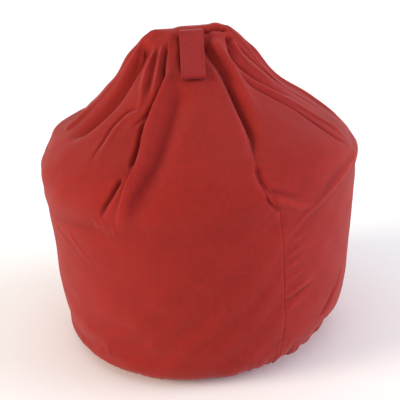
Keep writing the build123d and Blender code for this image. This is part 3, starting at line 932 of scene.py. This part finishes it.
def on_slope(down, out):
    """Points of the loop: down its slope and out of it."""
    down, out = np.broadcast_arrays(down, out)
    return HINGE + DOWN_SLOPE * down[:, None] + OUT_OF_SLOPE * out[:, None]


def over_strap(down):
    """How far the loop's upper strap is out of its slope."""
    return STRAP_THICK / 2 + np.maximum(down, 0) * LOOP_GAP / FOLD_START


def across_strap(share):
    """Steps across the strap, out to a share of its half width."""
    return np.linspace(-share, share, 40)[:, None] * [STRAP_HALF, 0, 0]


leg = np.linspace(-0.0010, FOLD_START, 48)
bend = np.linspace(0, math.pi, 15)[1:-1]
bend_radius = (LOOP_GAP + STRAP_THICK) / 2
loop = [
    on_slope(leg, -STRAP_THICK / 2),
    on_slope(FOLD_START + bend_radius * np.sin(bend), LOOP_GAP / 2 - bend_radius * np.cos(bend)),
    on_slope(leg[::-1], over_strap(leg[::-1])),
]
strap_object("carry_loop", [strap(np.concatenate(loop), ripple=0.0004)], "handle", ["carry_handle"])

strap_edges = [np.array([side * STITCH_INSET * STRAP_HALF, 0, 0]) for side in (-1, 1)]
sewn = leg[(leg > 0.004) & (leg < FOLD_START)]
loop_rows = []
for edge in strap_edges:
    face = on_slope(sewn[::-1], over_strap(sewn[::-1]) + STRAP_THICK * 0.44)
    loop_rows.append(stitches(face + edge, OUT_OF_SLOPE))
    loop_rows.append(stitches(on_slope(sewn, -STRAP_THICK * 0.94) + edge, -OUT_OF_SLOPE))
for down in (0.0065, 0.0105):
    across = on_slope([down], over_strap(down) + STRAP_THICK * 0.47) + across_strap(0.80)
    loop_rows.append(stitches(across, OUT_OF_SLOPE))
thread_object("carry_loop_stitching", loop_rows, "handle")

sewn_line = np.array(  # along Y, and over the lowest point of the sewn ends
    [(SEWN_LOW.y + 0.0010, -0.0001), (-0.017, 0.0002), (-0.009, 0.0010), (0, 0.0020), (0.0058, 0.0026)]
)
sewn_y = np.linspace(sewn_line[0, 0], sewn_line[-1, 0], 22)
sewn_z = SEWN_LOW.z + STRAP_THICK + spline(sewn_line[:, 0], sewn_line[:, 1], sewn_y)
sewn_path = np.stack([0 * sewn_y, sewn_y, sewn_z], -1)
halves = [strap(sewn_path + [0, 0, side * STRAP_THICK / 2]) for side in (-1, 1)]
strap_object("strap_ends", halves, "bag", ["handle_sewn_ends"])
top_face = sewn_path + [0, 0, STRAP_THICK * 0.97]
sewn_rows = []
for side, edge in zip((-1, 1), strap_edges):
    sewn_rows.append(stitches(top_face[2:-2] + edge, OUT_OF_RIDGE))
    corner = np.linspace(-1, 1, 30)
    y = np.interp(side * corner, (-1, 1), (sewn_y[3], sewn_y[-4]))
    diagonal = np.stack([corner * 0.80 * STRAP_HALF, y, np.interp(y, sewn_y, top_face[:, 2])], -1)
    sewn_rows.append(stitches(diagonal, OUT_OF_RIDGE))
for k in (3, -4):
    sewn_rows.append(stitches(top_face[k] + across_strap(0.82), OUT_OF_RIDGE))
thread_object("strap_end_stitching", sewn_rows, "bag")


# --- Ridge binding: a tape over the raw edges inside the ridge ---
BINDING_SIDE = [(0.0010, -0.0205), (0.0018, -0.016), (0.0019, -0.008), (0.0017, -0.002)]  # out of its middle, and up


def ridge_binding():
    """The folded tape that binds the raw edges under the ridge seam."""
    low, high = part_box("ridge_seam_binding")
    x = np.linspace(low.x * 0.92, high.x * 0.92, 90)
    profile = [(-y, z) for y, z in BINDING_SIDE[::-1]] + [(0.0, -0.0212)] + BINDING_SIDE
    ruffle = 0.0006 * np.sin(x * 210) + 0.0004 * np.sin(x * 470 + 1)
    grid = np.stack([np.stack([x, RIDGE_BACK + y + ruffle, RIDGE_HEIGHT + z + 0 * x], -1) for y, z in profile])
    faces = grid_faces(*grid.shape[:2])
    piece = add_piece("ridge_binding", grid, faces, binding_cloth, "bag", ["ridge_seam_binding"], "binding_tape")
    piece.modifiers.new("thickness", "SOLIDIFY").thickness = 0.0006


ridge_binding()

# --- Zips ---
LINER_ZIP_BEARING = 126.0
LINER_INSET = 0.008
COIL_PITCH = 0.00146
COIL_ENDS = 0.0072  # how much shorter a coil is than its slot
TOOTH = np.array([  # across the zip from its middle, along it, and out of it, and the nylon's radius there, in mm
    (0.55, 0, 0.0, 0.30), (0.75, 0, 0.18, 0.50), (1.3, 0, 0.12, 0.42), (2.1, 0, 0.1, 0.42), (2.8, 0, -0.1, 0.42),
    (2.95, 0, -0.7, 0.40), (2.7, 0, -1.25, 0.2),
])


def coil_teeth(zip_name, bearing, inset, side, word, material):
    """One side of a coil zip: bent nylon teeth, and the cord that holds them."""
    lean = math.atan2(WALL_RADII[1] - WALL_RADII[0], WALL_HEIGHTS[1] - WALL_HEIGHTS[0])
    t = math.radians(bearing)
    outward = np.array([math.sin(t), -math.cos(t), 0])
    out = outward * math.cos(lean) - [0, 0, math.sin(lean)]
    up = outward * math.sin(lean) + [0, 0, math.cos(lean)]
    across = np.cross(up, out) * side
    middle = (ZIP_LOW + ZIP_HIGH) / 2
    origin = outward * (np.interp(middle, WALL_HEIGHTS, WALL_RADII) - inset) + [0, 0, middle]
    template = tube(TOOTH[:, :3] * MM, TOOTH[:, 3] * MM, (0, 1, 0), sides=7)
    length = ZIP_HIGH - ZIP_LOW - COIL_ENDS
    count = int(length / COIL_PITCH)
    steps = (np.arange(count) - (count - 1) / 2) * COIL_PITCH + side * COIL_PITCH / 4
    centres = origin + steps[:, None] * up
    teeth = stamped(template, centres, np.repeat([across], count, 0), np.repeat([out], count, 0))
    ends = np.linspace(-length / 2, length / 2, 60)[:, None] * up
    cord = tube(origin + ends + across * 2.1 * MM + out * 0.50 * MM, 0.24 * MM, out)
    slot = "zip_coil" if zip_name == "cover" else "liner_zip_coil"
    nodes = [f"{zip_name}_zip_coil_{word}"]
    add_piece(f"{zip_name}_coil_{word}", *joined(teeth, cord), material, "bag", nodes, slot)


for side, word in ((-1, "left"), (1, "right")):
    coil_teeth("cover", ZIP_BEARING, 0, side, word, coil_nylon)
    coil_teeth("liner", LINER_ZIP_BEARING, LINER_INSET, side, word, liner_coil_nylon)


def keep_node(name, material, rounding=0.0):
    """A CAD piece that stays, with a finer material and, on metal, rounded edges."""
    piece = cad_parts[name]
    piece.data.materials.clear()
    piece.data.materials.append(material)
    if rounding:
        bevel = piece.modifiers.new("rounding", "BEVEL")
        bevel.width = rounding
        bevel.segments = 3
        bevel.limit_method = "ANGLE"
        bevel.angle_limit = math.radians(40)


for word in ("left", "right"):
    keep_node(f"cover_zip_tape_{word}", tape_cloth)
    keep_node(f"liner_zip_tape_{word}", liner_tape_cloth)
for zip_name in ("cover", "liner"):
    keep_node(f"{zip_name}_zip_stops", zip_paint, 0.0004)
    keep_node(f"{zip_name}_zip_slider", zip_paint, 0.00035)
keep_node("cover_zip_pull_tab", zip_paint, 0.0003)


def surface_row(bearings, heights):
    """Points just over the finished cover along a line, and the directions out of it."""
    bearing, height = np.atleast_2d(bearings), np.atleast_2d(heights)
    out = bag_normals(bearing, height)
    return (cover_points(bearing, height)[0] + out * 0.0001)[0], out[0]


ZIP_STITCHES = np.degrees(0.0105 / 0.355)  # degrees from the zip's middle
zip_ends = (ZIP_LOW - 0.008, ZIP_HIGH + 0.008)
lip_z = np.linspace(*zip_ends, 160)
lip_b = np.linspace(ZIP_BEARING - ZIP_STITCHES, ZIP_BEARING + ZIP_STITCHES, 24)
zip_lines = [(ZIP_BEARING + side * ZIP_STITCHES + 0 * lip_z, lip_z) for side in (-1, 1)]
zip_lines += [(lip_b, z + 0 * lip_b) for z in zip_ends]
thread_object("zip_stitching", [stitches(*surface_row(*line)) for line in zip_lines], "bag", "cover_fabric")


# --- Care label: a blank satin tag sewn into the seam below the zip, lying on the rear panel ---
def care_tag():
    """The label: a thin curved sheet sewn in at the seam, its free end lifted a little."""
    low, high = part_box("care_label")
    middle, half, reach = (low.z + high.z) / 2, 0.016, 0.044
    across, up = np.linspace(0, reach, 40), np.linspace(-half, half, 30)
    bearing = ZIP_BEARING - np.degrees(across / 0.350)[None] + 0 * up[:, None]
    height = middle + up[:, None] + 0 * across[None]
    lift = 0.0009 + 0.0022 * smooth(0.2, 1, across / reach) + 0.0006 * np.sin(across / 0.007)
    lift = lift[None] + 0.0008 * (up / half)[:, None] * (across / reach)[None]
    points = cover_points(bearing, height)[0] + bag_normals(bearing, height) * lift[..., None]
    faces = grid_faces(len(up), len(across))[:, ::-1]
    piece = add_piece("care_tag", points, faces, label_satin, "bag", ["care_label"], "label_fabric")
    piece.modifiers.new("thickness", "SOLIDIFY").thickness = 0.0004


care_tag()

# --- Floor, light and camera ---
bpy.ops.mesh.primitive_plane_add(size=12, location=(0, 0, 0))
floor = bpy.context.object
floor.name = "floor"
floor.data.materials.append(Finish("floor_white", Base_Color=(0.96, 0.96, 0.96, 1), Roughness=0.8).material)

scene = bpy.context.scene
scene.world = bpy.data.worlds.new("studio")
scene.world.use_nodes = True
sky = scene.world.node_tree.nodes["Background"].inputs
sky["Color"].default_value = (1, 1, 1, 1)
sky["Strength"].default_value = 0.80
scene.view_settings.view_transform = "Standard"


def sun(name, direction, angle, strength, colour):
    """A soft distant light that shines along a direction."""
    data = bpy.data.lights.new(name, "SUN")
    data.angle = math.radians(angle)
    data.energy = strength
    data.color = colour
    light = bpy.data.objects.new(name, data)
    light.rotation_euler = Vector(direction).to_track_quat("-Z", "Y").to_euler()
    scene.collection.objects.link(light)


sun("key", (0.90, 0.24, -0.32), 26, 2.55, (1.0, 0.86, 0.68))
sun("fill", (-0.97, 0.08, -0.19), 44, 2.95, (0.80, 0.82, 1.0))

CAMERA_DISTANCE = 2.16
CAMERA_ELEVATION = math.radians(22)
CAMERA_ROLL = math.radians(-3)
CAMERA_AIM = Vector((0, 0, 0.325))
CAMERA_LENS = 79.2  # mm, on a sensor 36 mm wide
lens_data = bpy.data.cameras.new("camera")
lens_data.sensor_width = 36
lens_data.lens = CAMERA_LENS
camera = bpy.data.objects.new("camera", lens_data)
scene.collection.objects.link(camera)
view = Vector((0, math.cos(CAMERA_ELEVATION), -math.sin(CAMERA_ELEVATION)))
turn = view.to_track_quat("-Z", "Y").to_matrix().to_4x4() @ Matrix.Rotation(CAMERA_ROLL, 4, "Z")
camera.matrix_world = Matrix.Translation(CAMERA_AIM - view * CAMERA_DISTANCE) @ turn
scene.camera = camera
